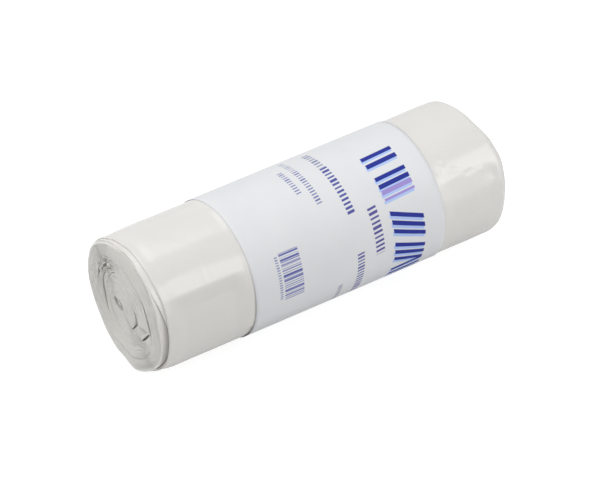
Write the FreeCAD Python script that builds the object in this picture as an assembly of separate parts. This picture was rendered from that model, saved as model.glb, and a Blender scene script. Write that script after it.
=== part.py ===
"""A coreless roll of film bin bags, lying on its side, with a paper band round it.

The bags hang together as one strip, folded lengthwise and wound up from an open eye.
X runs along the roll, Z is up, and the origin is under the middle of the roll.
Angles go round the roll in degrees, from +Y (the back) over the top.
"""

import FreeCAD, Part
import math
import os

# Driving sizes, in millimetres and degrees
STRIP_WIDTH = 200.0        # a 600 mm wide bag folded in three
ROLL_DIAMETER = 72.5
REST_FLAT = 18.0           # width of the flat that the soft roll lies on
SHOULDER_RADIUS = 16.0     # of the bends beside the flat

# The outermost turns have slipped along the roll, and the far end lies askew
WRAP_THICKNESS = 0.6       # of each of the two slipped bundles of turns
WRAP_LAP = 0.15            # how far a bundle reaches into the one inside it
SLIP = 1.45                # of each bundle against the one inside it
NEAR_LEAN = (3.0, -3.4)    # the tight bundle's near end's slope to the back and to the top
FAR_LEAN = (-6.5, 2.0)     # and the far end's
CURL_LENGTH = 2.0          # the outer turns' edges curl in at the far end
CURL_DROP = 3.6
TAIL_ANGLE = -24.0         # where the strip's free edge lies, low at the back
TAIL_HEIGHT = 0.45
TAIL_RUN = 90.0            # the angle over which the edge's step dies away

# The wound turns as they show at the ends
EYE_WIDTH = 6.0
EYE_HEIGHT = 3.8
EYE_TURN = 30.0            # the way the flattened eye points
EYE_BACK = 6.0             # the eye's place, back from the roll's middle
EYE_UP = -2.2              # and above it
COIL_FORWARD = 1.0         # the loose inner coil lies this far forward
COIL_UP = -0.6             # and this far above the roll's middle
COIL_SQUASH = 0.13         # how much wider than round the inner turns are
TURN_COUNT = 6
INNER_RADIUS = 2.6         # where the gap between the turns starts, inside the eye
OUTER_WALL = 2.4           # from the last gap to the surface of the tight bundle
INNER_GAP = 0.9            # gap between the turns near the eye
OUTER_GAP = 0.4            # and near the surface
GAP_DEPTH = 9.0
# Slack places between turns: turns out from the eye, half length, width
SLACK_PLACES = ((1.12, 0.13, 1.5), (2.12, 0.12, 1.7), (2.58, 0.13, 1.7), (3.36, 0.16, 2.0),
                (3.85, 0.13, 2.4), (4.45, 0.14, 2.0))

# The end faces: radius and depth of the coil, the trough round it and the tight bundle
COIL_RADIUS = 11.0
COIL_DEPTH = 0.9
TROUGH_RADIUS = 20.0
TROUGH_DEPTH = 3.4
BUNDLE_RADIUS = 26.5
RIM_RADIUS = 30.5          # where the near end's rim starts to round off
RIM_DEPTH = 1.6

# The paper band
BAND_WIDTH = 113.0
BAND_THICKNESS = 0.15
BAND_CLEARANCE = 0.1       # between the film and the paper
BAND_OFFSET = 8.1          # the band's middle, from the roll's middle towards +X
SEAM_ANGLE = -38.0         # the paper's glued free edge, low at the back
SEAM_WIDTH = 20.0          # of the glued overlap

ARCS_PER_TURN = 4          # arcs that one turn of the spiral is made of

ROLL_RADIUS = ROLL_DIAMETER / 2
SHOULDER_REACH = ROLL_RADIUS - SHOULDER_RADIUS
FLAT_DROP = SHOULDER_RADIUS + math.sqrt(SHOULDER_REACH ** 2 - (REST_FLAT / 2) ** 2)
MIDDLE_HEIGHT = FLAT_DROP + BAND_CLEARANCE + BAND_THICKNESS
SHOULDER_ANGLE = math.degrees(math.asin(REST_FLAT / 2 / SHOULDER_REACH))
BUNDLE_INSET = 2 * WRAP_THICKNESS
DOWN = -90.0
UP = 90.0
RING_START = 37.0          # where turned rings start, clear of the other edges


def vector(x, y, z):
    return FreeCAD.Vector(x, y, z)


def at_angle(angle, radius, x=0.0):
    """The point at that angle and distance from the roll's middle line."""
    turn = math.radians(angle)
    return vector(x, radius * math.cos(turn), MIDDLE_HEIGHT + radius * math.sin(turn))


def line(start, end):
    return Part.LineSegment(start, end).toShape()


def arc(start, middle, end):
    return Part.Arc(start, middle, end).toShape()


def round_arc(first, last, radius):
    """An arc round the roll's middle line."""
    return arc(at_angle(first, radius), at_angle((first + last) / 2, radius), at_angle(last, radius))


def shoulder(side, inset):
    """The bend between the flat and the round, on the back (1) or front (-1)."""
    radius = SHOULDER_RADIUS - inset
    centre = vector(0, side * REST_FLAT / 2, MIDDLE_HEIGHT - FLAT_DROP + SHOULDER_RADIUS)
    ends = []
    for share in (0, 0.5, 1):
        turn = math.radians(DOWN + side * SHOULDER_ANGLE * share)
        ends.append(centre + vector(0, radius * math.cos(turn), radius * math.sin(turn)))
    return ends if side > 0 else ends[::-1]


def section(inset, tail_height=0.0):
    """The roll's section, this far inside its surface.

    The strip's free edge stands tail_height above the turn that it lies on, and the
    step dies away going on round the roll.
    """
    radius = ROLL_RADIUS - inset
    back, front = shoulder(1, inset), shoulder(-1, inset)
    edges = [line(front[2], back[0]), arc(*back)]
    last = DOWN + 360 - SHOULDER_ANGLE
    if tail_height:
        run_end = TAIL_ANGLE + TAIL_RUN
        edges.append(round_arc(DOWN + SHOULDER_ANGLE, TAIL_ANGLE, radius))
        foot = at_angle(TAIL_ANGLE, radius - tail_height)
        halfway = at_angle(TAIL_ANGLE + TAIL_RUN / 2, radius - tail_height / 4)
        edges.append(line(edges[-1].valueAt(edges[-1].LastParameter), foot))
        edges.append(arc(foot, halfway, at_angle(run_end, radius)))
        edges.append(round_arc(run_end, last, radius))
    else:
        edges.append(round_arc(DOWN + SHOULDER_ANGLE, UP, radius))
        edges.append(round_arc(UP, last, radius))
    edges.append(arc(*front))
    return Part.Face(Part.Wire(edges))


def lean(x, slope, shape):
    """Turns a cutting shape, made square at x, to the lean of an end of the roll."""
    middle = vector(x, 0, MIDDLE_HEIGHT)
    backward, upward = slope
    shape.rotate(middle, vector(0, 0, 1), -backward)
    shape.rotate(middle, vector(0, 1, 0), upward)
    return shape


def beyond(x, outward, slope):
    """All that lies past a leaning plane through x."""
    size = 2 * ROLL_DIAMETER
    low = x if outward > 0 else x - size
    corner = vector(low, -size / 2, MIDDLE_HEIGHT - size / 2)
    return lean(x, slope, Part.makeBox(size, size, size, corner))


def long_bar(face, low, high):
    """A section carried along X, with some to spare past both ends for their lean."""
    spare = ROLL_RADIUS
    bar = face.extrude(vector(high - low + 2 * spare, 0, 0))
    bar.translate(vector(low - spare, 0, 0))
    return bar


def near_slope(share):
    """The near end's slope, for a bundle of turns that has this share of the lean."""
    return NEAR_LEAN[0] * share, NEAR_LEAN[1] * share


def prism(face, low, high, near_share=1.0):
    """A section carried along X between the roll's two leaning ends."""
    near = beyond(low, -1, near_slope(near_share))
    return long_bar(face, low, high).cut([near, beyond(high, 1, FAR_LEAN)])


def turned(profile, x, slope):
    """The ring that a profile, given as x and radius, sweeps round the roll, leaning at x."""
    points = [at_angle(RING_START, r, px) for px, r in profile]
    face = Part.Face(Part.makePolygon(points + points[:1]))
    return lean(x, slope, face.revolve(vector(x, 0, MIDDLE_HEIGHT), vector(1, 0, 0), 360))


def spiral_point(turn, across):
    """A point on the winding, across being the distance outwards from the gap's middle."""
    outward = turn / TURN_COUNT
    last_radius = ROLL_RADIUS - BUNDLE_INSET - OUTER_WALL
    radius = INNER_RADIUS + (last_radius - INNER_RADIUS) * outward
    angle = math.radians(DOWN + 360 * turn)
    inward = 1 - outward
    bulge = math.sin(math.pi * outward)
    middle_y = EYE_BACK * inward ** 2 - COIL_FORWARD * bulge
    middle_z = EYE_UP * inward ** 2 + COIL_UP * bulge
    reach = radius * (1 + COIL_SQUASH * inward * math.cos(2 * angle)) + across
    return vector(0, middle_y + reach * math.cos(angle),
                  MIDDLE_HEIGHT + middle_z + reach * math.sin(angle))


def gap_width(turn):
    return INNER_GAP + (OUTER_GAP - INNER_GAP) * turn / TURN_COUNT


def arcs_between(points):
    """Arcs through the points, each from one point over the next to the one after."""
    return [arc(*points[i:i + 3]) for i in range(0, len(points) - 2, 2)]


def spiral_gap():
    """The face of the spiral gap that parts the turns of the wound strip."""
    step = 0.5 / ARCS_PER_TURN
    turns = [i * step for i in range(2 * ARCS_PER_TURN * TURN_COUNT + 1)]
    outer = [spiral_point(t, gap_width(t) / 2) for t in turns]
    inner = [spiral_point(t, -gap_width(t) / 2) for t in reversed(turns)]
    edges = arcs_between(outer) + [line(outer[-1], inner[0])]
    edges += arcs_between(inner) + [line(inner[-1], outer[0])]
    return Part.Face(Part.Wire(edges))


def slack_place(turn, half_length, width):
    """The face of a crescent where the turns stand apart."""
    start = spiral_point(turn - half_length, 0)
    end = spiral_point(turn + half_length, 0)
    return Part.Face(Part.Wire([arc(start, spiral_point(turn, width / 2), end),
                                arc(end, spiral_point(turn, -width / 2), start)]))


def eye():
    """The section of the flattened eye that the strip was wound round."""
    turn = math.radians(EYE_TURN)
    wide = vector(0, math.cos(turn), math.sin(turn)) * (EYE_WIDTH / 2)
    high = vector(0, -math.sin(turn), math.cos(turn)) * (EYE_HEIGHT / 2)
    middle = vector(0, EYE_BACK, MIDDLE_HEIGHT + EYE_UP)
    tips = middle - wide, middle + wide
    return Part.Face(Part.Wire([arc(tips[0], middle + high, tips[1]),
                                arc(tips[1], middle - high, tips[0])]))


def end_relief(x, outward, slope, rim_depth):
    """What is cut from an end of the tight bundle, so that its turns stand in and out."""
    rim = ROLL_RADIUS - BUNDLE_INSET
    stations = [(0, COIL_DEPTH), (COIL_RADIUS, COIL_DEPTH), (TROUGH_RADIUS, TROUGH_DEPTH),
                (BUNDLE_RADIUS, 0)]
    if rim_depth:
        stations.append((RIM_RADIUS, 0))
        stations.append((2 * rim - RIM_RADIUS, 2 * rim_depth))
        stations.append((2 * rim - RIM_RADIUS, -rim))
    else:
        stations.append((BUNDLE_RADIUS, -rim))
    stations.append((0, -rim))
    return turned([(x - outward * depth, r) for r, depth in stations], x, slope)


def tight_bundle():
    """The strip's inner turns, one solid, with the spiral open at both ends."""
    low, high = -STRIP_WIDTH / 2 - SLIP, STRIP_WIDTH / 2 - SLIP
    solid = prism(section(BUNDLE_INSET), low - RIM_DEPTH, high)
    solid = solid.cut([end_relief(low, -1, NEAR_LEAN, RIM_DEPTH), end_relief(high, 1, FAR_LEAN, 0)])
    gap = spiral_gap().fuse([slack_place(*place) for place in SLACK_PLACES]).removeSplitter()
    spare = ROLL_RADIUS
    tools = []
    for start in (low - spare, high - GAP_DEPTH):
        tool = gap.extrude(vector(spare + GAP_DEPTH, 0, 0))
        tool.translate(vector(start, 0, 0))
        tools.append(tool)
    return solid.cut(tools).cut(long_bar(eye(), low, high))


def slipped_wrap(number, tail_height):
    """One of the outer bundles of turns, slipped along: number 1, or 2 outside it."""
    outer_inset = BUNDLE_INSET - number * WRAP_THICKNESS
    inner = section(outer_inset + WRAP_THICKNESS + WRAP_LAP)
    ring = section(outer_inset, tail_height).cut(inner)
    low = (number - 1) * SLIP - STRIP_WIDTH / 2
    return prism(ring, low, STRIP_WIDTH / 2 - SLIP, (2 - number) / 2)


def curled_edge():
    """The outer turns at the far end, past the tight bundle, where their edges curl in."""
    low, high = STRIP_WIDTH / 2 - SLIP, STRIP_WIDTH / 2 + SLIP
    collar = section(0, TAIL_HEIGHT).cut(section(BUNDLE_INSET + CURL_DROP))
    collar = long_bar(collar, low, high)
    slant = CURL_DROP / CURL_LENGTH
    outside = [(high - 2 * CURL_LENGTH, ROLL_RADIUS + CURL_DROP), (high, ROLL_RADIUS - CURL_DROP),
               (high + CURL_LENGTH, ROLL_RADIUS - CURL_DROP - slant * CURL_LENGTH),
               (high + CURL_LENGTH, ROLL_RADIUS + CURL_DROP)]
    bevel = turned(outside, high, FAR_LEAN)
    return collar.cut([beyond(low, -1, FAR_LEAN), beyond(high, 1, FAR_LEAN), bevel])


def bag_roll():
    """The whole roll, one solid, with its length centred on the origin."""
    wraps = [slipped_wrap(1, 0.0), slipped_wrap(2, TAIL_HEIGHT), curled_edge()]
    solid = tight_bundle().fuse(wraps).removeSplitter()
    box = solid.optimalBoundingBox()
    solid.translate(vector(-(box.XMin + box.XMax) / 2, 0, 0))
    return solid


def paper_band():
    """A strip of paper round the roll, doubled where its ends are glued together."""
    inner_inset = -BAND_CLEARANCE
    outer_inset = inner_inset - BAND_THICKNESS
    radius = ROLL_RADIUS - outer_inset
    seam_end = SEAM_ANGLE + math.degrees(SEAM_WIDTH / radius)
    flap = Part.Face(Part.Wire([
        round_arc(SEAM_ANGLE, seam_end, radius), line(at_angle(seam_end, radius),
                                                      at_angle(seam_end, radius + BAND_THICKNESS)),
        round_arc(seam_end, SEAM_ANGLE, radius + BAND_THICKNESS),
        line(at_angle(SEAM_ANGLE, radius + BAND_THICKNESS), at_angle(SEAM_ANGLE, radius))]))
    ring = section(outer_inset).fuse(flap).cut(section(inner_inset)).removeSplitter()
    band = ring.extrude(vector(BAND_WIDTH, 0, 0))
    band.translate(vector(BAND_OFFSET - BAND_WIDTH / 2, 0, 0))
    return band


def main():
    os.makedirs("parts", exist_ok=True)
    for name, shape in (("bag_roll", bag_roll()), ("paper_band", paper_band())):
        box = shape.optimalBoundingBox()
        print(name, "solids", len(shape.Solids), "valid", shape.isValid(), "faces", len(shape.Faces),
              "volume", round(shape.Volume, 1))
        print("  box", [round(v, 2) for v in (box.XMin, box.XMax, box.YMin, box.YMax, box.ZMin, box.ZMax)])
        shape.exportStep("parts/" + name + ".step")


main()
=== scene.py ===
import bpy
import bmesh
import math
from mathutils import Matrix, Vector, noise


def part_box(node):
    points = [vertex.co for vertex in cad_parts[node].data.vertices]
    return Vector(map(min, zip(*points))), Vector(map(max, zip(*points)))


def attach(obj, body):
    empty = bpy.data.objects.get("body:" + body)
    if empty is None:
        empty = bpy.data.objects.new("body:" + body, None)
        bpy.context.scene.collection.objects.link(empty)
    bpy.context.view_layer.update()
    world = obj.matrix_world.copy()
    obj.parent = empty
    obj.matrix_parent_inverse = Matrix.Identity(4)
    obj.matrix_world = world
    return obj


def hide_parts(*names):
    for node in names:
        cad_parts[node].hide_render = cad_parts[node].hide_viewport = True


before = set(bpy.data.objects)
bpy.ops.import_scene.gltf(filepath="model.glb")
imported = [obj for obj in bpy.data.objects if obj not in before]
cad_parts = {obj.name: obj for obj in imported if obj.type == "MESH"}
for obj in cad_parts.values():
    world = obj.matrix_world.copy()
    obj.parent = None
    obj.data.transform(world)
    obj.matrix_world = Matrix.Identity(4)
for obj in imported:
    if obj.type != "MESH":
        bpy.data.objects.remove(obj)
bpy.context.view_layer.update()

millimetre = 0.001
fullTurn = 2 * math.pi

# Lengths are in mm, and angles in degrees round the roll from +Y, the back, over the top.
rollShape = {
    "radius": 36.25,             # of the round part
    "flatWidth": 18.0,           # the flat that the soft roll lies on
    "shoulderRadius": 16.0,
    "nearEdge": -99.3,           # the outermost turns' edge at the near end
    "nearFace": -102.2,          # the tight bundle's end
    "nearLean": (3.0, -3.4),     # to the back and to the top
    "farFace": 97.6,
    "farLean": (-6.5, 2.0),
    "wrapThickness": 0.6,        # of each of the two slipped bundles of outer turns
    "wrapSlip": 1.45,
    "bandEdges": (-48.4, 64.6),  # where the paper lies along the roll
    # angle and mm: how far the tight bundle's end stands out past its leaning plane
    "nearPush": [(-180, 0.0), (-150, 0.5), (-122, 2.3), (-104, 3.6), (-84, 2.8), (-62, 2.0),
                 (-38, 1.5), (-8, 1.6), (22, 1.0), (50, 0.7), (66, 0.5), (84, 0.0), (180, 0.0)],
    "pushReach": 33.0,           # from the middle to where that push is full
    # angle and mm: how far the bundle's rim is rounded away
    "nearRim": [(-180, 1.7), (-150, 1.4), (-120, 1.1), (40, 1.1), (65, 1.6), (95, 2.8),
                (130, 3.0), (155, 2.5), (180, 1.7)],
    "rimStart": 26.0,            # from the middle to where the rim begins to round
    "rimRun": 9.0,
    "rimPower": 1.9,
    # angle and mm: how far the near end is squeezed in
    "nearSqueeze": [(-180, 0.9), (-150, 0.6), (-125, 1.5), (-100, 1.5), (-70, 0.6), (-45, 0.0),
                    (35, 0.0), (60, 1.0), (80, 1.3), (99, 0.25), (114, 0.0), (150, 0.2),
                    (172, 0.9), (180, 0.9)],
    "nearSqueezeRun": 13.0,
    # angle and mm: how far the outermost turns' near edge is drawn back
    "nearBack": [(-180, 0.9), (-140, 0.4), (-110, 0.0), (125, 0.0), (150, 0.7), (180, 0.9)],
    # the groove between the bundle's rim and that edge: middle and half angle, mm
    "groove": (182.0, 56.0, 0.75),
    "grooveRun": (0.2, 2.4),     # behind the rim, where it starts and where it is full
    "sideSunk": 0.6,             # how deep the bundle's side lies further in
    "sideRun": (8.0, 20.0),
    # long soft dents at the front, beside the band, each with four places along the roll and
    # four round it, where it starts, gets full, stops being full and ends, and its depth
    "longDents": [((-99.0, -86.0, -60.0, -50.0), (144.0, 161.0, 168.0, 214.0), 2.2),
                  ((66.0, 73.0, 94.0, 103.0), (138.0, 155.0, 160.0, 196.0), 0.7)],
    "tailAngle": -24.0,          # where the film's free edge lies, low at the back
    "tailHeight": 0.45,
    "tailRun": 90.0,             # the angle over which that step dies away
    "tailWave": 0.016,           # radians, how far the edge strays from a straight line
    "tailHalf": 14.0,            # the half angle that strays with it
    # angle and mm: how far the far end falls short of its leaning plane
    "farShort": [(-180, 0.9), (-150, 0.7), (-110, 0.0), (60, 0.0), (82, 0.8), (104, 1.7),
                 (128, 0.2), (144, -0.4), (162, 0.5), (180, 0.9)],
    "farPast": 3.2,              # how far the outermost turns reach past the bundle there
}

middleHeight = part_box("bag_roll")[1].z / millimetre - rollShape["radius"]
shoulderReach = rollShape["radius"] - rollShape["shoulderRadius"]
flatReach = math.sqrt(shoulderReach ** 2 - (rollShape["flatWidth"] / 2) ** 2)
flatDrop = rollShape["shoulderRadius"] + flatReach
stepGap = 0.0004                 # radians, between the two sides of a sharp step
mergeDistance = 1e-7             # metres

def reachAt(angle, inset=0.0):
    # how far the surface is from the roll's middle line, in that direction
    down = abs((angle + math.pi / 2 + math.pi) % fullTurn - math.pi)
    halfFlat = rollShape["flatWidth"] / 2
    if down >= math.asin(halfFlat / shoulderReach):
        return rollShape["radius"] - inset
    if math.tan(down) * (flatDrop - inset) <= halfFlat:
        return (flatDrop - inset) / math.cos(down)
    centreDown = flatDrop - rollShape["shoulderRadius"]
    along = halfFlat * math.sin(down) + centreDown * math.cos(down)
    off = halfFlat * math.cos(down) - centreDown * math.sin(down)
    return along + math.sqrt(max((rollShape["shoulderRadius"] - inset) ** 2 - off ** 2, 0.0))

def leanAt(lean, across, up):
    # how far along the roll a leaning end lies at that place
    return math.tan(math.radians(lean[0])) * across + math.tan(math.radians(lean[1])) * up

def smoothStep(low, high, value):
    share = min(max((value - low) / (high - low), 0.0), 1.0)
    return share * share * (3 - 2 * share)

def bump(value, middle, halfWidth):
    share = abs(value - middle) / halfWidth
    return 0.5 + 0.5 * math.cos(math.pi * share) if share < 1 else 0.0

def plateau(value, places):
    # rises from the first place to the second and falls from the third to the fourth
    return smoothStep(places[0], places[1], value) * (1 - smoothStep(places[2], places[3], value))

def angleBetween(angle, other):
    return (angle - other + 180) % 360 - 180

def fromTable(table, angle):
    # a value that changes smoothly round the roll
    degrees = angleBetween(math.degrees(angle), 0)
    for (low, before), (high, after) in zip(table, table[1:]):
        if degrees <= high:
            return before + (after - before) * smoothStep(low, high, degrees)
    return table[-1][1]

def addObject(name, data):
    made = bpy.data.objects.new(name, data)
    bpy.context.scene.collection.objects.link(made)
    return made

def makeObject(name, points, faces):
    mesh = bpy.data.meshes.new(name)
    mesh.from_pydata([Vector(p) * millimetre for p in points], [], faces)
    mesh.update()
    return addObject(name, mesh)

def pointOut(made, smooth=True):
    # merges doubles and turns every face outwards
    shape = bmesh.new()
    shape.from_mesh(made.data)
    bmesh.ops.remove_doubles(shape, verts=shape.verts, dist=mergeDistance)
    bmesh.ops.recalc_face_normals(shape, faces=shape.faces)
    shape.to_mesh(made.data)
    shape.free()
    made.data.polygons.foreach_set("use_smooth", [smooth] * len(made.data.polygons))
    return made

def roundAngles(count, *steps):
    # even angles round the roll, with two close together at each sharp step
    angles = [fullTurn * i / count for i in range(count)]
    for step in steps:
        near = math.radians(step) % fullTurn
        angles = [angle for angle in angles if abs(angle - near) > 0.4 * fullTurn / count]
        angles += [near - stepGap, near + stepGap]
    return sorted(angles)

def loopShare(j, outside, inside):
    # out along a loop's outside stations and back along its inside ones
    return j / (outside - 1) if j < outside else 1 - (j - outside) / (inside - 1)

def sweptShell(name, loopPoint, loopCount, angles):
    # a closed shell: a closed loop of points carried once round the roll
    points = []
    faces = []
    turnCount = len(angles)
    for angle in angles:
        points += [loopPoint(angle, j) for j in range(loopCount)]
    for i in range(turnCount):
        for j in range(loopCount):
            a = i * loopCount + j
            b = i * loopCount + (j + 1) % loopCount
            c = ((i + 1) % turnCount) * loopCount + (j + 1) % loopCount
            d = ((i + 1) % turnCount) * loopCount + j
            faces.append((a, b, c, d))
    return pointOut(makeObject(name, points, faces))

def atPlace(x, angle, reach):
    return (x, reach * math.cos(angle), middleHeight + reach * math.sin(angle))

def nodeGroup(name, inputs, outputs):
    tree = bpy.data.node_groups.new(name, "ShaderNodeTree")
    for label, kind, value in inputs:
        socket = tree.interface.new_socket(name=label, in_out="INPUT", socket_type=kind)
        if value is not None:
            socket.default_value = value
    for label, kind in outputs:
        tree.interface.new_socket(name=label, in_out="OUTPUT", socket_type=kind)
    return tree, tree.nodes.new("NodeGroupInput"), tree.nodes.new("NodeGroupOutput")

def addNode(tree, kind, **settings):
    node = tree.nodes.new(kind)
    for key, value in settings.items():
        setattr(node, key, value)
    return node

def joinTo(tree, value, socket):
    if isinstance(value, bpy.types.NodeSocket):
        tree.links.new(value, socket)
    else:
        socket.default_value = value

def doMath(tree, operation, *values, clamp=False):
    node = addNode(tree, "ShaderNodeMath", operation=operation, use_clamp=clamp)
    for value, socket in zip(values, node.inputs):
        joinTo(tree, value, socket)
    return node.outputs[0]

def mixColour(tree, share, first, second):
    node = addNode(tree, "ShaderNodeMix", data_type="RGBA")
    joinTo(tree, share, node.inputs[0])
    joinTo(tree, first, node.inputs[6])
    joinTo(tree, second, node.inputs[7])
    return node.outputs[2]

def noiseAt(tree, vector, scale, detail=2.0):
    node = addNode(tree, "ShaderNodeTexNoise")
    joinTo(tree, vector, node.inputs["Vector"])
    joinTo(tree, scale, node.inputs["Scale"])
    node.inputs["Detail"].default_value = detail
    return node.outputs[0]

def useGroup(tree, group, **values):
    node = addNode(tree, "ShaderNodeGroup", node_tree=group)
    for key, value in values.items():
        joinTo(tree, value, node.inputs[key])
    return node

def newMaterial(name):
    material = bpy.data.materials.new(name)
    material.use_nodes = True
    tree = material.node_tree
    return material, tree, tree.nodes["Principled BSDF"]

def srgb(red, green, blue):
    def linear(value):
        value /= 255
        return value / 12.92 if value <= 0.04045 else ((value + 0.055) / 1.055) ** 2.4

    return (linear(red), linear(green), linear(blue), 1.0)

def makeFilmGroup():
    # cloudiness and fine creases of thin film, along and round the roll
    tree, given, result = nodeGroup("filmCreases", [
        ("Vector", "NodeSocketVector", None),
        ("Long Crease Scale", "NodeSocketFloat", 90.0),
        ("Long Crease Depth", "NodeSocketFloat", 0.5),
        ("Round Crease Scale", "NodeSocketFloat", 160.0),
        ("Round Crease Depth", "NodeSocketFloat", 0.35),
        ("Cloud Scale", "NodeSocketFloat", 28.0)],
        [("Height", "NodeSocketFloat"), ("Cloud", "NodeSocketFloat")])
    get = given.outputs

    def creases(stretch, scale, depth, detail):
        stretched = addNode(tree, "ShaderNodeMapping")
        tree.links.new(get["Vector"], stretched.inputs["Vector"])
        stretched.inputs["Scale"].default_value = stretch
        pattern = noiseAt(tree, stretched.outputs[0], get[scale], detail)
        return doMath(tree, "MULTIPLY", pattern, get[depth])

    along = creases((0.35, 1.0, 1.0), "Long Crease Scale", "Long Crease Depth", 4.0)
    around = creases((1.6, 0.25, 0.25), "Round Crease Scale", "Round Crease Depth", 2.0)
    tree.links.new(doMath(tree, "ADD", along, around), result.inputs["Height"])
    tree.links.new(noiseAt(tree, get["Vector"], get["Cloud Scale"], 3.0), result.inputs["Cloud"])
    return tree

# the film's glossy outside, and its soft edges at the ends; lengths in metres
smoothFinish = {
    "light": srgb(226, 224, 220),
    "dark": srgb(214, 212, 208),
    "rough": (0.20, 0.30),
    "creaseHeight": 0.00008,
    "softness": 0.0,
}
edgeFinish = {
    "light": srgb(222, 221, 216),
    "dark": srgb(208, 206, 200),
    "rough": (0.4, 0.55),
    "creaseHeight": 0.0001,
    "softness": 0.25,
}
filmGloss = {
    "specular": 0.42,
    "coat": 0.36,
    "coatRough": 0.14,
    "softReach": 0.003,
}

def roughFrom(tree, value, span, shader):
    # the finish gets rougher where the value is high
    rough = addNode(tree, "ShaderNodeMapRange")
    tree.links.new(value, rough.inputs["Value"])
    rough.inputs["To Min"].default_value, rough.inputs["To Max"].default_value = span
    tree.links.new(rough.outputs[0], shader.inputs["Roughness"])

def reliefFrom(tree, value, height, shader):
    relief = addNode(tree, "ShaderNodeBump")
    relief.inputs["Distance"].default_value = height
    tree.links.new(value, relief.inputs["Height"])
    tree.links.new(relief.outputs[0], shader.inputs["Normal"])

def makeFilm(name, finish):
    material, tree, shader = newMaterial(name)
    place = addNode(tree, "ShaderNodeTexCoord").outputs["Object"]
    creases = useGroup(tree, filmGroup, Vector=place)
    colour = mixColour(tree, creases.outputs["Cloud"], finish["dark"], finish["light"])
    tree.links.new(colour, shader.inputs["Base Color"])
    roughFrom(tree, creases.outputs["Cloud"], finish["rough"], shader)
    reliefFrom(tree, creases.outputs["Height"], finish["creaseHeight"], shader)
    shader.inputs["Specular IOR Level"].default_value = filmGloss["specular"]
    shader.inputs["Coat Weight"].default_value = filmGloss["coat"]
    shader.inputs["Coat Roughness"].default_value = filmGloss["coatRough"]
    shader.inputs["Subsurface Weight"].default_value = finish["softness"]
    shader.inputs["Subsurface Radius"].default_value = (1.0, 0.95, 0.85)
    shader.inputs["Subsurface Scale"].default_value = filmGloss["softReach"]
    return material

filmGroup = makeFilmGroup()
filmSmooth = makeFilm("clearWhiteFilm", smoothFinish)
filmEdges = makeFilm("filmEdges", edgeFinish)
print("film materials made")

# the two bundles of outer turns
filmSettings = {
    "stations": 200,             # along the outermost turns' outside
    "innerStations": 60,         # and along their inside
    "aroundCount": 300,
    "middleStations": 40,        # the same for the turns under them
    "middleInnerStations": 8,
    "middleLength": 14.0,        # mm, how far in those go
    "middleSunk": 0.5,           # mm, how deep they dive behind their edge
    "middleSunkRun": (3.0, 8.0),
    "grooveBack": 4.5,           # mm, how far their edge draws back beside the groove
    "nearWave": 0.25,            # mm, how uneven the near edges are
    "nearWaveLength": 14.0,
    "curl": 3.4,                 # mm, how far the far edges curl in
    "curlRun": 4.5,
    "dentRun": (-1.0, 5.0),      # mm from the near edge, where the dents start and get full
    "insideStep": 0.25,          # mm, how the inside opens behind the near edge
    "insideRun": (0.0, 3.0),
    "skin": 0.05,                # mm, between one bundle and the next
    "clearance": 0.03,           # mm, kept between the film and the roll's full round
    # mean depth in mm, how much it varies, length along the roll and number round it
    "waves": [(0.20, 1.6, 24.0, 2.2), (0.03, 1.0, 3.2, 1.2), (0.05, 1.0, 9.0, 7.0)],
    # place along the roll, angle, half sizes along and round, depth: single dents and creases
    "places": [(96.0, 151, 6.0, 8, 0.5), (91.5, 146, 4.0, 4, -0.12), (-70.0, 135, 1.6, 14, 0.12),
               (-72.5, 138, 2.5, 8, -0.12), (67.0, 134, 2.8, 5.0, 0.35),
               (71.5, 129, 2.8, 4.5, 0.25), (71.5, 139, 3.2, 5, 0.32), (75.5, 124, 4.0, 4, 0.35),
               (76.5, 137, 3.2, 3.6, -0.3), (-86.0, 137, 7.0, 7, 0.2), (-60.0, 118, 9.0, 8, 0.22),
               (84.0, 143, 5.0, 4, 0.2), (-49.3, 207, 1.8, 5, 0.3)],
    # under the paper the upper side is pulled smooth: middle angle, the half angles where
    # that is full and where it ends, how far outside the paper it starts, and how smooth
    "underBand": (70.0, 80.0, 110.0, 3.0, 0.8),
}

def filmDent(x, angle):
    # how deep the film lies below the roll's round, in mm
    degrees = math.degrees(angle)
    cosine, sine = math.cos(angle), math.sin(angle)
    depth = 0.0
    for mean, vary, length, number in filmSettings["waves"]:
        where = Vector((x / length, cosine * number, sine * number))
        depth += mean * (1 + vary * noise.noise(where))
    for middle, place, halfAlong, halfAround, deep in filmSettings["places"]:
        around = bump(angleBetween(degrees, place), 0, halfAround)
        depth += deep * bump(x, middle, halfAlong) * around
    low, high = rollShape["bandEdges"]
    middle, full, end, before, smooth = filmSettings["underBand"]
    hidden = smoothStep(-before, 0.0, min(x - low, high - x))
    upper = 1 - smoothStep(full, end, abs(angleBetween(degrees, middle)))
    return max(depth, 0.0) * (1 - smooth * hidden * upper) + filmSettings["clearance"]

def squeezedBy(x, angle):
    # how far all turns are pressed in at that place
    near = 1 - smoothStep(0.0, rollShape["nearSqueezeRun"], x - rollShape["nearEdge"])
    squeezed = fromTable(rollShape["nearSqueeze"], angle) * near ** 2
    for along, around, depth in rollShape["longDents"]:
        squeezed += depth * plateau(x, along) * plateau(math.degrees(angle) % 360, around)
    return squeezed

def grooveAt(angle, past):
    # how deep the bundle's side lies, past mm behind its rim
    middle, halfAngle, depth = rollShape["groove"]
    beside = bump(angleBetween(math.degrees(angle), middle), 0, halfAngle)
    deep = depth * beside * smoothStep(*rollShape["grooveRun"], past)
    return deep + rollShape["sideSunk"] * smoothStep(*rollShape["sideRun"], past)

def tailDrop(angle):
    # the surface lies lower past the film's free edge, and the step dies away round the roll
    past = (math.degrees(angle) - rollShape["tailAngle"]) % 360 / rollShape["tailRun"]
    return rollShape["tailHeight"] * (1 - past) ** 2 if past < 1 else 0.0

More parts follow.
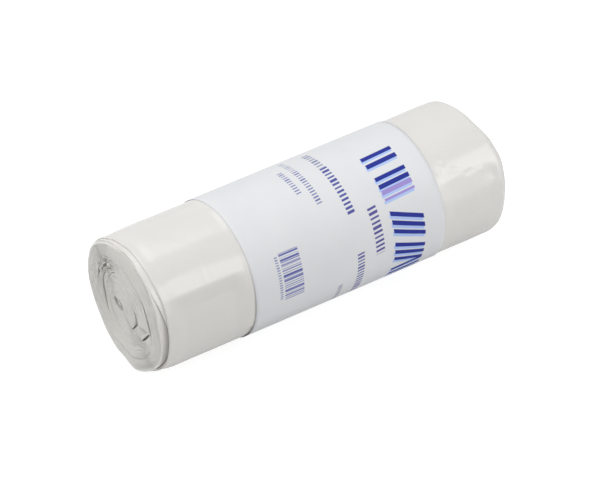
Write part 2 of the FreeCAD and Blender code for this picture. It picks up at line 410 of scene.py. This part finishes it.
def tailShift(x, angle):
    # the free edge isn't quite straight
    wave = rollShape["tailWave"] * noise.noise(Vector((x / 22, 8.1, 0.0)))
    away = angleBetween(math.degrees(angle), rollShape["tailAngle"])
    return wave * bump(away, 0, rollShape["tailHalf"])

def endPlaces(angle, inset):
    # where the two leaning ends lie at that place on the roll's side
    reach = reachAt(angle, inset)
    across = reach * math.cos(angle)
    up = reach * math.sin(angle)
    far = rollShape["farFace"] + leanAt(rollShape["farLean"], across, up)
    return reach, across, up, far

def outerShell(name):
    # the outermost turns, with their free edge
    thickness = rollShape["wrapThickness"]
    stations = filmSettings["stations"]
    inner = filmSettings["innerStations"]

    def loopPoint(angle, j):
        reach, across, up, far = endPlaces(angle, 0.0)
        near = rollShape["nearEdge"] + edgeWave(2, across, up)
        near += fromTable(rollShape["nearBack"], angle)
        far += rollShape["farPast"] - fromTable(rollShape["farShort"], angle)
        share = loopShare(j, stations, inner)
        x = near + (far - near) * share
        reach -= squeezedBy(x, angle)
        curl = filmSettings["curl"] * smoothStep(far - filmSettings["curlRun"], far, x) ** 2
        if j < stations:
            dent = filmDent(x, angle) * smoothStep(*filmSettings["dentRun"], x - near)
            return atPlace(x, angle + tailShift(x, angle), reach - dent - curl - tailDrop(angle))
        opened = filmSettings["insideStep"] * smoothStep(*filmSettings["insideRun"], x - near)
        return atPlace(x, angle, reach - thickness - opened - curl)

    return sweptShell(name, loopPoint, stations + inner,
                      roundAngles(filmSettings["aroundCount"], rollShape["tailAngle"]))

def middleShell(name):
    # the slipped turns under the outermost ones, which show at their near edge alone
    thickness = rollShape["wrapThickness"]
    stations = filmSettings["middleStations"]
    inner = filmSettings["middleInnerStations"]
    middle, halfAngle = rollShape["groove"][:2]

    def loopPoint(angle, j):
        reach, across, up = endPlaces(angle, thickness)[:3]
        near = rollShape["nearEdge"] - rollShape["wrapSlip"]
        near += 0.5 * leanAt(rollShape["nearLean"], across, up) + edgeWave(1, across, up)
        beside = bump(angleBetween(math.degrees(angle), middle), 0, halfAngle)
        near += filmSettings["grooveBack"] * beside
        far = rollShape["nearEdge"] + filmSettings["middleLength"]
        share = loopShare(j, stations, inner)
        x = near + (far - near) * share
        reach -= squeezedBy(x, angle)
        reach -= filmSettings["middleSunk"] * smoothStep(*filmSettings["middleSunkRun"], x - near)
        return atPlace(x, angle, reach - (filmSettings["skin"] if j < stations else thickness))

    return sweptShell(name, loopPoint, stations + inner,
                      roundAngles(filmSettings["aroundCount"], rollShape["tailAngle"]))

def edgeWave(number, across, up):
    length = filmSettings["nearWaveLength"]
    place = Vector((number * 7.3, across / length, up / length))
    return filmSettings["nearWave"] * noise.noise(place)

outerWrap = outerShell("outer_turns")
middleWrap = middleShell("slipped_turns")

def nearFaceAt(across, up):
    # the tight bundle's leaning end
    reach = math.hypot(across, up)
    full = min(reach / rollShape["pushReach"], 1.1) ** 2
    push = fromTable(rollShape["nearPush"], math.atan2(up, across)) * full
    return rollShape["nearFace"] + leanAt(rollShape["nearLean"], across, up) - push

def rimSunk(reach, angle):
    past = max(reach - rollShape["rimStart"], 0.0) / rollShape["rimRun"]
    return fromTable(rollShape["nearRim"], angle) * past ** rollShape["rimPower"]

bundleSettings = {
    "stations": 60,
    "innerStations": 3,
    "aroundCount": 240,
    "wall": 1.2,                 # mm
    "crowding": 1.6,             # how much closer the stations lie at the near end
}

def bundleShell(name):
    # the tight bundle's outermost turns
    stations = bundleSettings["stations"]
    inner = bundleSettings["innerStations"]
    outside = 2 * rollShape["wrapThickness"]

    def loopPoint(angle, j):
        outer = j < stations
        inset = outside + (filmSettings["skin"] if outer else bundleSettings["wall"])
        reach, across, up, far = endPlaces(angle, inset)
        near = nearFaceAt(across, up) + rimSunk(rollShape["radius"] - inset, angle)
        share = loopShare(j, stations, inner)
        x = near + (far - near) * share ** bundleSettings["crowding"]
        return atPlace(x, angle, reach - squeezedBy(x, angle) - grooveAt(angle, x - near))

    return sweptShell(name, loopPoint, stations + inner, roundAngles(bundleSettings["aroundCount"]))

bundle = bundleShell("bundle_side")
print("outer turns made")

nearTurns = {
    "pitch": 0.5,                # mm, from one turn to the next
    "samples": 180,              # points in one turn
    "outerReach": 34.3,          # mm, of the last turn
    "eyeReach": 3.6,             # mm, of the first one
    "eyeSquash": 0.7,            # mm, how flat the first one is
    "squashRun": 9.0,            # mm, over which the turns get rounder
    "eyeAcross": 7.8,            # mm, the eye's place, from the roll's middle
    "eyeUp": -2.5,
    "eyeRun": 23.0,              # mm, from where the turns lie round the roll's middle
    "eyeTurn": 27.0,             # degrees
    "roundFrom": 8.0,            # mm, from where the turns take on the roll's own section
    "wallShare": 0.66,           # how much of the pitch is film
    "wallDepth": 9.0,            # mm, how far the turns are parted
    "jitter": 0.04,              # mm
    "squeezed": 1.0,
    # places where the turns are drawn in: angle, half angle, reach, half reach, mm
    "warps": [(238, 62, 20.0, 12.0, 2.2), (60, 50, 22.0, 9.0, 2.0)],
    # places where the turns stand apart: reach, angle, half angle, opening, falloff
    "gaps": [(12.5, 186, 50, 1.3, 2.5), (23.0, 160, 40, 2.0, 3.0), (19.8, 201, 13, 1.3, 2.0),
             (23.6, -12, 44, 0.9, 3.0), (27.5, -96, 46, 0.7, 2.0), (24.6, 28, 16, 1.3, 1.5),
             (22.4, 44, 14, 1.5, 1.2), (19.5, 56, 18, 1.5, 1.5), (25.8, 14, 12, 1.0, 1.2),
             (16.5, 66, 16, 0.8, 1.5)],
}
farTurns = dict(
    nearTurns, pitch=0.7, samples=120, wallDepth=8.0, squeezed=0.0,
    warps=[(110, 60, 19.0, 9.0, 3.0)],
    gaps=[(16.0, 60, 40, 1.6, 2.5), (24.0, 250, 44, 2.0, 3.0), (28.5, 120, 36, 1.4, 2.5)])

def windingMap(settings, reach, angle):
    # where a turn of that size lies on the end face: across and up from the roll's middle
    degrees = math.degrees(angle)
    for middle, halfAngle, place, halfReach, drawn in settings["warps"]:
        turned = bump(angleBetween(degrees, middle), 0, halfAngle)
        reach -= drawn * turned * bump(reach, place, halfReach)
    inward = max(1 - reach / settings["eyeRun"], 0.0)
    rest = max(1 - (reach / settings["outerReach"]) ** 2, 0.0)
    squash = settings["eyeSquash"] * min(1.0, rest * 3)
    squash *= math.exp(-(reach - settings["eyeReach"]) / settings["squashRun"])
    eyeTurn = math.radians(settings["eyeTurn"])
    major = (reach + squash) * math.cos(angle - eyeTurn)
    minor = (reach - squash) * math.sin(angle - eyeTurn)
    across = major * math.cos(eyeTurn) - minor * math.sin(eyeTurn) + settings["eyeAcross"] * inward
    up = major * math.sin(eyeTurn) + minor * math.cos(eyeTurn) + settings["eyeUp"] * rest
    flatten = smoothStep(settings["roundFrom"], settings["outerReach"], reach)
    direction = math.atan2(up, across)
    scale = 1 + (reachAt(direction) / rollShape["radius"] - 1) * flatten
    pressed = settings["squeezed"] * fromTable(rollShape["nearSqueeze"], direction)
    scale -= pressed * flatten ** 2 / settings["outerReach"]
    return across * scale, up * scale

def gapShift(settings, turn):
    # how far a turn is pushed out or in beside the slack places
    shift = 0.0
    for reach, middle, halfAngle, opening, falloff in settings["gaps"]:
        index = round(turn - middle / 360)
        away = (turn - middle / 360 - index) * 360
        if abs(away) >= halfAngle:
            continue
        gapIndex = round((reach - settings["eyeReach"]) / settings["pitch"] - middle / 360)
        distance = (index - gapIndex - 0.5) * settings["pitch"]
        side = 1 if distance > 0 else -1
        shift += side * opening / 2 * bump(away, 0, halfAngle) * math.exp(-abs(distance) / falloff)
    return shift

# how deep the turns' edges lie below the near end's plane, all in mm and degrees
nearRelief = {
    "trough": (20.8, 4.4, 1.1),          # reach, half width and depth, all round
    "troughSide": (-8, 100, 1.6, 2.2),   # angle, half angle, and what is added to reach and depth
    "centre": (12.0, 20.0, 0.7),         # sunk inside the first reach, not past the second one
    "pocket": (-17.8, -6.0, 4.6, 2.6, 3.0),      # across, up, half sizes, depth
    # soft valleys between the turns: middle across and up, reach, half width, angle, half angle,
    # depth
    "valleys": [(3.6, -2.2, 13.3, 1.5, 188, 56, 1.3), (0.0, -1.4, 23.9, 1.7, 168, 48, 1.5),
                (0.0, -1.4, 26.4, 1.2, 224, 50, 0.7)],
    "crumple": (38, 46, 21.5, 8.5),      # angle, half angle, reach, half reach
    "crumpleDepth": (1.0, 3.4),          # mean, and how much it varies
    "unevenness": 0.45,
    "edges": 0.16,                       # how much one turn differs from the next
    "rough": 0.10,
}

def nearSunk(across, up, turnNumber):
    reach = math.hypot(across, up)
    angle = math.degrees(math.atan2(up, across))
    middle, halfAngle, further, deeper = nearRelief["troughSide"]
    side = bump(angleBetween(angle, middle), 0, halfAngle)
    place, halfWidth, deep = nearRelief["trough"]
    sunk = rimSunk(reach, math.radians(angle))
    sunk += (deep + deeper * side) * math.exp(-((reach - place - further * side) / halfWidth) ** 2)
    low, high, deep = nearRelief["centre"]
    sunk += deep * (1 - smoothStep(low, high, reach))
    place, height, halfAcross, halfUp, deep = nearRelief["pocket"]
    sunk += deep * math.exp(-math.hypot((across - place) / halfAcross, (up - height) / halfUp) ** 2)
    for middleAcross, middleUp, place, halfWidth, turned, halfAngle, deep in nearRelief["valleys"]:
        away = math.hypot(across - middleAcross, up - middleUp) - place
        facing = math.degrees(math.atan2(up - middleUp, across - middleAcross))
        beside = bump(angleBetween(facing, turned), 0, halfAngle)
        sunk += deep * math.exp(-(away / halfWidth) ** 2) * beside
    middle, halfAngle, place, halfReach = nearRelief["crumple"]
    crumple = bump(angleBetween(angle, middle), 0, halfAngle) * bump(reach, place, halfReach)
    wave = noise.noise(Vector((across / 2.6, up / 2.2, turnNumber * 0.21)))
    wave += 0.5 * noise.noise(Vector((across / 1.2, up / 1.1, turnNumber * 0.13)))
    mean, vary = nearRelief["crumpleDepth"]
    sunk += crumple * (mean + vary * wave)
    sunk += nearRelief["unevenness"] * noise.noise(Vector((across / 9, up / 9, 3.1)))
    sunk += nearRelief["edges"] * noise.noise(Vector((across / 3, up / 3, turnNumber * 0.3)))
    return sunk

def edgeLine(name, points, walls):
    # a line through the points, with what carries it across kept as an attribute
    mesh = bpy.data.meshes.new(name)
    edges = [(i, i + 1) for i in range(len(points) - 1)]
    mesh.from_pydata([Vector(p) * millimetre for p in points], edges, [])
    attribute = mesh.attributes.new("wall", "FLOAT_VECTOR", "POINT")
    attribute.data.foreach_set("vector", [v * millimetre for wall in walls for v in wall])
    return addObject(name, mesh)

def windingPath(name, settings, facePoint):
    # the line of the film's edge, from the eye to the outside
    turns = (settings["outerReach"] - settings["eyeReach"]) / settings["pitch"]
    points = []
    walls = []
    for i in range(int(turns * settings["samples"]) + 1):
        turn = i / settings["samples"]
        angle = fullTurn * turn
        jitter = settings["jitter"] * noise.noise(Vector((turn * 3.7, 0.5, 0.0)))
        reach = settings["eyeReach"] + settings["pitch"] * turn + jitter + gapShift(settings, turn)
        inner = windingMap(settings, reach, angle)
        outer = windingMap(settings, reach + settings["pitch"] * settings["wallShare"], angle)
        x = facePoint(inner[0], inner[1], turn)
        tilt = facePoint(outer[0], outer[1], turn) - x
        points.append((x, inner[0], middleHeight + inner[1]))
        walls.append((tilt, outer[0] - inner[0], outer[1] - inner[1]))
    return edgeLine(name, points, walls)

def makeWindingTree():
    # carries the film's edge line across by its wall attribute, and then in along the roll
    tree = bpy.data.node_groups.new("windingWall", "GeometryNodeTree")
    tree.interface.new_socket(name="Geometry", in_out="INPUT", socket_type="NodeSocketGeometry")
    tree.interface.new_socket(name="Depth", in_out="INPUT", socket_type="NodeSocketFloat")
    tree.interface.new_socket(name="Film", in_out="INPUT", socket_type="NodeSocketMaterial")
    tree.interface.new_socket(name="Geometry", in_out="OUTPUT", socket_type="NodeSocketGeometry")
    given = tree.nodes.new("NodeGroupInput")
    result = tree.nodes.new("NodeGroupOutput")
    wall = addNode(tree, "GeometryNodeInputNamedAttribute", data_type="FLOAT_VECTOR")
    wall.inputs["Name"].default_value = "wall"
    rim = addNode(tree, "GeometryNodeExtrudeMesh", mode="EDGES")
    tree.links.new(given.outputs["Geometry"], rim.inputs["Mesh"])
    tree.links.new(wall.outputs["Attribute"], rim.inputs["Offset"])
    rim.inputs["Offset Scale"].default_value = 1.0
    turned = addNode(tree, "GeometryNodeFlipFaces")
    tree.links.new(rim.outputs["Mesh"], turned.inputs["Mesh"])
    direction = addNode(tree, "ShaderNodeCombineXYZ")
    tree.links.new(given.outputs["Depth"], direction.inputs["X"])
    deep = addNode(tree, "GeometryNodeExtrudeMesh", mode="FACES")
    deep.inputs["Individual"].default_value = False
    deep.inputs["Offset Scale"].default_value = 1.0
    tree.links.new(turned.outputs["Mesh"], deep.inputs["Mesh"])
    tree.links.new(direction.outputs[0], deep.inputs["Offset"])
    both = addNode(tree, "GeometryNodeJoinGeometry")
    tree.links.new(rim.outputs["Mesh"], both.inputs[0])
    tree.links.new(deep.outputs["Mesh"], both.inputs[0])
    merged = addNode(tree, "GeometryNodeMergeByDistance")
    merged.inputs["Distance"].default_value = mergeDistance
    tree.links.new(both.outputs[0], merged.inputs["Geometry"])
    real = addNode(tree, "GeometryNodeRealizeInstances")
    tree.links.new(merged.outputs[0], real.inputs[0])
    dressed = addNode(tree, "GeometryNodeSetMaterial")
    tree.links.new(real.outputs[0], dressed.inputs["Geometry"])
    tree.links.new(given.outputs["Film"], dressed.inputs["Material"])
    tree.links.new(dressed.outputs[0], result.inputs[0])
    return tree

def growWall(path, depth):
    # runs the winding tree on a path and keeps the result as a plain mesh
    values = {"Depth": depth * millimetre, "Film": filmEdges}
    modifier = path.modifiers.new("growth", "NODES")
    modifier.node_group = windingTree
    for item in windingTree.interface.items_tree:
        if item.in_out == "INPUT" and item.name in values:
            modifier[item.identifier] = values[item.name]
    bpy.context.view_layer.update()
    evaluated = path.evaluated_get(bpy.context.evaluated_depsgraph_get())
    mesh = bpy.data.meshes.new_from_object(evaluated)
    path.modifiers.clear()
    made = addObject(path.name + "_wall", mesh)
    bpy.data.objects.remove(path)
    return pointOut(made, smooth=False)

windingTree = makeWindingTree()

def nearFacePoint(across, up, turn):
    number = math.floor(turn)
    rough = nearRelief["rough"] * noise.noise(Vector((turn * 2.3, number * 1.7, 9.0)))
    return nearFaceAt(across, up) + nearSunk(across, up, number) + rough

nearWall = growWall(windingPath("near_turns", nearTurns, nearFacePoint), nearTurns["wallDepth"])
print("near turns:", len(nearWall.data.polygons), "faces")

foldSettings = {
    "points": 17,
    "start": -1.9,               # mm along the eye, from its middle
    "length": 4.6,
    "aside": 0.75,               # mm, how far it bends to the sides
    "bends": 1.15,               # radians of that bend to a mm
    "thickness": 0.75,
    "tilt": 0.1,
    "sunk": 1.2,                 # mm below the end's plane
    "depth": 6.0,
}

def foldPath(name):
    # the film's inner end, folded over in the eye
    turn = math.radians(nearTurns["eyeTurn"])
    cosine, sine = math.cos(turn), math.sin(turn)
    points = []
    for i in range(foldSettings["points"]):
        along = foldSettings["start"] + foldSettings["length"] * i / (foldSettings["points"] - 1)
        aside = foldSettings["aside"] * math.sin(along * foldSettings["bends"])
        across = nearTurns["eyeAcross"] + along * cosine - aside * sine
        up = nearTurns["eyeUp"] + along * sine + aside * cosine
        points.append((nearFaceAt(across, up) + foldSettings["sunk"], across, middleHeight + up))
    thickness = foldSettings["thickness"]
    wall = (foldSettings["tilt"], -thickness * sine, thickness * cosine)
    return edgeLine(name, points, [wall] * len(points))

innerFold = growWall(foldPath("inner_fold"), foldSettings["depth"])

# how deep the turns' edges lie below the far end's plane, all in mm
farRelief = {
    "trough": (19.0, 4.0, 2.2),          # reach, half width and depth
    "centre": (12.0, 20.0, 0.9),         # sunk inside the first reach, not past the second one
    "unevenness": 0.5,
    "rough": 0.12,
}

def farFacePoint(across, up, turn):
    reach = math.hypot(across, up)
    place, halfWidth, deep = farRelief["trough"]
    sunk = deep * math.exp(-((reach - place) / halfWidth) ** 2)
    low, high, deep = farRelief["centre"]
    sunk += deep * (1 - smoothStep(low, high, reach))
    sunk += farRelief["unevenness"] * noise.noise(Vector((across / 8, up / 8, 5.2)))
    rough = farRelief["rough"] * noise.noise(Vector((turn * 2.1, math.floor(turn) * 1.3, 4.0)))
    return rollShape["farFace"] + leanAt(rollShape["farLean"], across, up) - sunk + rough

farWall = growWall(windingPath("far_turns", farTurns, farFacePoint), -farTurns["wallDepth"])
print("far turns:", len(farWall.data.polygons), "faces")

coreSettings = {
    "near": -94.5,               # mm along the roll
    "far": 90.0,
    "inset": 2.4,                # mm, inside the roll's round
    "aroundCount": 96,
}

def innerCore():
    # closes the roll behind the turns' walls
    count = coreSettings["aroundCount"]
    points = []
    for x in (coreSettings["near"], coreSettings["far"]):
        for i in range(count):
            angle = fullTurn * i / count
            points.append(atPlace(x, angle, reachAt(angle, coreSettings["inset"])))
    faces = [(i, (i + 1) % count, count + (i + 1) % count, count + i) for i in range(count)]
    faces += [tuple(range(count)), tuple(range(count, 2 * count))]
    return pointOut(makeObject("inner_turns", points, faces), smooth=False)

core = innerCore()
for piece in (outerWrap, middleWrap, bundle, core):
    piece.data.materials.append(filmSmooth)
for piece in (outerWrap, middleWrap, bundle, core, nearWall, farWall, innerFold):
    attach(piece, "root")
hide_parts("bag_roll")
print("film roll made")

bandSettings = {
    "gap": 0.12,                 # mm, between the film and the paper
    "thickness": 0.15,
    "stations": 56,
    "aroundCount": 240,
    "seamAngle": -38.0,          # the glued free edge, low at the back
    "seamRun": 31.1,             # of the glued overlap
    "freeRun": 7.0,              # mm, how far in the paper's edges are free
    "lift": (0.06, 209, 24),     # mm, angle, half angle: where they stand off
    "hug": (0.11, 95, 85),       # and where they lie closer
}

def makeBand():
    settings = bandSettings
    stations = settings["stations"]
    low, high = rollShape["bandEdges"]
    thickness = settings["thickness"]
    seam, seamRun = settings["seamAngle"], settings["seamRun"]
    angles = roundAngles(settings["aroundCount"], seam, seam + seamRun)
    angles.append(angles[0] + fullTurn)
    size = 2 * stations
    shares = [loopShare(j, stations, stations) for j in range(size)]
    points = []
    for angle in angles:
        degrees = math.degrees(angle)
        over = (degrees - seam) % 360 < seamRun
        for j, share in enumerate(shares):
            outer = j < stations
            x = low + (high - low) * share
            free = 1 - smoothStep(0.0, settings["freeRun"], min(x - low, high - x))
            most, middle, halfAngle = settings["lift"]
            lift = most * free * bump(angleBetween(degrees, middle), 0, halfAngle)
            lift += thickness if over and outer else 0.0
            most, middle, halfAngle = settings["hug"]
            hug = most * free * bump(angleBetween(degrees, middle), 0, halfAngle)
            inset = hug - settings["gap"] - lift - (thickness if outer else 0.0)
            points.append(atPlace(x, angle, reachAt(angle, inset)))
    faces = []
    for i in range(len(angles) - 1):
        for j in range(size):
            k = (j + 1) % size
            faces.append((i * size + j, i * size + k, (i + 1) * size + k, (i + 1) * size + j))
    made = makeObject("paper_wrap", points, faces)
    plan = made.data.uv_layers.new(name="bandPlan")
    for loop in made.data.loops:
        i, j = divmod(loop.vertex_index, size)
        plan.data[loop.index].uv = (shares[j], angles[i] / fullTurn)
    return pointOut(made)

band = makeBand()

def makeInkGroup():
    # the mask of a row of plain bars, from places in mm along the roll and round it
    sizes = [("Along", 0.0), ("Around", 0.0), ("Low", 0.0), ("High", 10.0), ("Start", 0.0),
             ("End", 10.0), ("Period", 2.0), ("Share", 0.5), ("Slant", 0.0), ("Vary", 0.0),
             ("Soft", 0.2)]
    tree, given, result = nodeGroup(
        "inkBars", [(label, "NodeSocketFloat", value) for label, value in sizes],
        [("Mask", "NodeSocketFloat")])
    get = given.outputs

    def less(value, other):
        return doMath(tree, "SUBTRACT", value, other)

    def times(value, other):
        return doMath(tree, "MULTIPLY", value, other)

    def inside(value, middle, half):
        # how far inside a stretch a place lies
        return less(half, doMath(tree, "ABSOLUTE", less(value, middle)))

    rise = less(get["Along"], get["Low"])
    placed = doMath(tree, "ADD", less(get["Around"], get["Start"]), times(rise, get["Slant"]))
    cell = doMath(tree, "DIVIDE", placed, get["Period"])
    index = doMath(tree, "FLOOR", cell)
    chance = addNode(tree, "ShaderNodeTexWhiteNoise", noise_dimensions="1D")
    tree.links.new(index, chance.inputs["W"])
    barMiddle = times(times(get["Period"], get["Share"]), 0.5)
    barHalf = times(barMiddle, less(1.0, times(chance.outputs["Value"], get["Vary"])))
    rowHalf = times(less(get["High"], get["Low"]), 0.5)
    runHalf = times(less(get["End"], get["Start"]), 0.5)
    within = inside(times(less(cell, index), get["Period"]), barMiddle, barHalf)
    within = doMath(tree, "MINIMUM", within, inside(rise, rowHalf, rowHalf))
    within = doMath(tree, "MINIMUM", within, inside(placed, runHalf, runHalf))
    mask = doMath(tree, "ADD", doMath(tree, "DIVIDE", within, get["Soft"]), 0.5, clamp=True)
    tree.links.new(mask, result.inputs["Mask"])
    return tree

# each row of bars: low and high along the roll, start and end angle, period, share of it that is
# ink, slant, how much the bars vary, ink colour, which is paler in two rows' parts near the top as
# painted glare; lengths in mm
bandPrint = {
    "radius": 36.5,              # that the angles are measured at
    "paperDark": srgb(218, 220, 223),
    "paperLight": srgb(226, 227, 229),
    "paperRough": (0.55, 0.7),
    "paperSpecular": 0.35,
    "grainHeight": 0.00004,      # metres
    "deepBlue": srgb(22, 38, 140),
    "lightBlue": srgb(172, 195, 240),
    "violet": srgb(158, 142, 208),
    "shadowAlong": -0.7,         # mm, where the light blue shadow falls
    "shadowAround": 1.3,
    "bigRows": [
        (33.6, 52.0, 98.5, 114.0, 4.9, 0.56, 0.05, 0.25, "deepBlue"),
        (33.9, 52.3, 119.0, 129.5, 4.2, 0.60, 0.05, 0.2, "deepBlue"),
        (34.0, 52.3, 130.5, 139.5, 4.4, 0.62, 0.05, 0.2, "violet"),
        (34.2, 52.6, 147.5, 167.0, 4.7, 0.56, -0.42, 0.1, "deepBlue"),
        (34.2, 52.6, 174.5, 196.0, 4.7, 0.56, -0.42, 0.1, "deepBlue"),
        (34.2, 52.6, 204.0, 236.0, 4.9, 0.56, 0.05, 0.25, "deepBlue"),
    ],
    "smallRows": [
        (22.9, 28.0, 139.0, 179.0, 2.5, 0.66, 0.1, 0.45, srgb(84, 80, 150)),
        (11.8, 15.9, 171.0, 224.0, 2.0, 0.66, 0.1, 0.45, srgb(92, 92, 158)),
        (1.2, 3.8, 196.0, 226.0, 1.7, 0.66, 0.1, 0.45, srgb(140, 142, 168)),
        (12.2, 16.4, 92.0, 138.0, 2.3, 0.70, 0.08, 0.5, srgb(78, 82, 158)),
        # the same row's part near the top, drawn paler: painted glare over its ink
        (12.2, 16.0, 66.0, 92.0, 2.3, 0.70, 0.08, 0.5, srgb(140, 146, 176)),
        (-0.6, 2.5, 84.0, 122.5, 1.75, 0.58, 0.08, 0.5, srgb(112, 116, 170)),
        # the same row's part near the top, drawn paler: painted glare over its ink
        (-0.6, 2.5, 62.0, 84.0, 1.75, 0.58, 0.08, 0.5, srgb(165, 170, 192)),
        (-7.2, -4.3, 78.0, 107.5, 1.75, 0.58, 0.08, 0.5, srgb(118, 122, 176)),
        (-31.5, -20.3, 144.3, 184.8, 1.15, 0.5, 0.0, 0.75, srgb(118, 124, 182)),
        (-31.5, -20.3, 145.1, 184.8, 2.75, 0.42, 0.0, 0.7, srgb(92, 98, 166)),
        (-34.3, -32.6, 146.0, 184.0, 1.35, 0.6, 0.0, 0.4, srgb(130, 136, 180)),
    ],
}

def makePaper():
    material, tree, shader = newMaterial("bandPaper")
    plan = addNode(tree, "ShaderNodeUVMap", uv_map="bandPlan")
    parts = addNode(tree, "ShaderNodeSeparateXYZ")
    tree.links.new(plan.outputs[0], parts.inputs[0])
    low, high = rollShape["bandEdges"]
    girth = fullTurn * bandPrint["radius"]
    along = doMath(tree, "ADD", doMath(tree, "MULTIPLY", parts.outputs[0], high - low), low)
    around = doMath(tree, "MULTIPLY", parts.outputs[1], girth)
    place = addNode(tree, "ShaderNodeTexCoord").outputs["Object"]
    cloud = noiseAt(tree, place, 60.0, 4.0)
    colour = mixColour(tree, cloud, bandPrint["paperDark"], bandPrint["paperLight"])

    def rowMask(row, moveAlong=0.0, moveAround=0.0):
        low, high, start, end, period, share, slant, vary = row[:-1]
        return useGroup(tree, inkGroup, Along=along, Around=around,
                        Low=low + moveAlong, High=high + moveAlong,
                        Start=start / 360 * girth + moveAround,
                        End=end / 360 * girth + moveAround,
                        Period=period, Share=share, Slant=slant, Vary=vary).outputs["Mask"]

    for row in bandPrint["bigRows"]:
        shadow = rowMask(row, bandPrint["shadowAlong"], bandPrint["shadowAround"])
        colour = mixColour(tree, shadow, colour, bandPrint["lightBlue"])
    for row in bandPrint["bigRows"]:
        colour = mixColour(tree, rowMask(row), colour, bandPrint[row[-1]])
    for row in bandPrint["smallRows"]:
        colour = mixColour(tree, rowMask(row), colour, row[-1])
    tree.links.new(colour, shader.inputs["Base Color"])
    roughFrom(tree, cloud, bandPrint["paperRough"], shader)
    shader.inputs["Specular IOR Level"].default_value = bandPrint["paperSpecular"]
    reliefFrom(tree, noiseAt(tree, place, 1400.0, 3.0), bandPrint["grainHeight"], shader)
    return material

inkGroup = makeInkGroup()
band.data.materials.append(makePaper())
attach(band, "root")
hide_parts("paper_band")
print("paper band made")

stageSettings = {
    "worldLevel": 0.45,
    "floorSize": 12.0,           # metres
    "floorGrey": 0.68,
    "floorRough": 0.9,
    # own light and light that keeps the shadow, as mirrors and as the camera see the floor
    "floorMirrored": (0.30, 0.55),
    "floorSeen": (0.86, 0.30),
    # direction, distance, size, watts
    "lamps": {
        "softBox": ((0.464, -0.68, 0.575), 1.6, (0.8, 0.75), 5.1),
        "overhead": ((-0.1, 0.35, 1.0), 1.8, (1.8, 1.4), 14.0),
        "farFill": ((1.0, -1.1, 0.35), 0.6, (0.4, 0.4), 0.55),
        "endFill": ((-1.2, 0.25, 0.7), 1.6, (1.2, 1.2), 10.0),
    },
    "cameraAzimuth": 34.1,       # degrees, to the near end
    "cameraHeight": 38.5,
    "cameraDistance": 2.604,     # metres
    "lens": 306.2,               # mm
    "aim": (0.00007, 0.00513, -0.00284),     # metres: along the roll, then across and up in view
}

def mirroredRays(tree, path):
    return doMath(tree, "MAXIMUM", path.outputs["Is Glossy Ray"],
                  path.outputs["Is Transmission Ray"])

def makeFloor():
    half = stageSettings["floorSize"] / 2
    mesh = bpy.data.meshes.new("floor")
    corners = [(-half, -half, 0), (half, -half, 0), (half, half, 0), (-half, half, 0)]
    mesh.from_pydata(corners, [], [(0, 1, 2, 3)])
    made = addObject("floor", mesh)
    material, tree, shader = newMaterial("paleFloor")
    shader.inputs["Base Color"].default_value = (*[stageSettings["floorGrey"]] * 3, 1)
    shader.inputs["Roughness"].default_value = stageSettings["floorRough"]
    path = addNode(tree, "ShaderNodeLightPath")

    def whiteFor(ray, levels, before):
        # white for that kind of ray, less the object's shadow
        lit = addNode(tree, "ShaderNodeEmission")
        lit.inputs["Strength"].default_value = levels[0]
        dull = addNode(tree, "ShaderNodeBsdfDiffuse")
        dull.inputs["Color"].default_value = (*[levels[1]] * 3, 1)
        both = addNode(tree, "ShaderNodeAddShader")
        tree.links.new(lit.outputs[0], both.inputs[0])
        tree.links.new(dull.outputs[0], both.inputs[1])
        choose = addNode(tree, "ShaderNodeMixShader")
        tree.links.new(ray, choose.inputs[0])
        tree.links.new(before, choose.inputs[1])
        tree.links.new(both.outputs[0], choose.inputs[2])
        return choose.outputs[0]

    look = whiteFor(mirroredRays(tree, path), stageSettings["floorMirrored"], shader.outputs[0])
    look = whiteFor(path.outputs["Is Camera Ray"], stageSettings["floorSeen"], look)
    tree.links.new(look, tree.nodes["Material Output"].inputs["Surface"])
    mesh.materials.append(material)

def makeWorld():
    world = bpy.data.worlds.new("studio")
    bpy.context.scene.world = world
    world.use_nodes = True
    tree = world.node_tree
    back = tree.nodes["Background"]
    path = addNode(tree, "ShaderNodeLightPath")
    seen = doMath(tree, "MAXIMUM", path.outputs["Is Camera Ray"], mirroredRays(tree, path))
    strength = addNode(tree, "ShaderNodeMapRange")
    tree.links.new(seen, strength.inputs["Value"])
    strength.inputs["To Min"].default_value = stageSettings["worldLevel"]
    strength.inputs["To Max"].default_value = 1.0
    tree.links.new(strength.outputs[0], back.inputs["Strength"])
    back.inputs["Color"].default_value = (1, 1, 1, 1)

def makeLamp(name, direction, distance, size, energy):
    lamp = bpy.data.lights.new(name, "AREA")
    lamp.shape = "RECTANGLE"
    lamp.size, lamp.size_y = size
    lamp.energy = energy
    made = addObject(name, lamp)
    direction = Vector(direction).normalized()
    made.location = direction * distance
    made.rotation_mode = "QUATERNION"
    made.rotation_quaternion = direction.to_track_quat("Z", "Y")

def makeCamera():
    settings = stageSettings
    azimuth = math.radians(settings["cameraAzimuth"])
    height = math.radians(settings["cameraHeight"])
    level = math.cos(height)
    towards = Vector((-math.sin(azimuth) * level, -math.cos(azimuth) * level, math.sin(height)))
    rightward = Vector((math.cos(azimuth), -math.sin(azimuth), 0))
    upward = towards.cross(rightward)
    along, across, up = settings["aim"]
    target = Vector((along, 0, middleHeight * millimetre)) + across * rightward + up * upward
    camera = bpy.data.cameras.new("camera")
    camera.lens = settings["lens"]
    camera.sensor_width = 36
    camera.clip_end = 30
    made = addObject("camera", camera)
    made.location = target + towards * settings["cameraDistance"]
    made.rotation_mode = "QUATERNION"
    made.rotation_quaternion = towards.to_track_quat("Z", "Y")
    bpy.context.scene.camera = made

makeFloor()
makeWorld()
for lampName, lamp in stageSettings["lamps"].items():
    makeLamp(lampName, *lamp)
makeCamera()
bpy.context.scene.view_settings.view_transform = "Standard"
print("stage made")
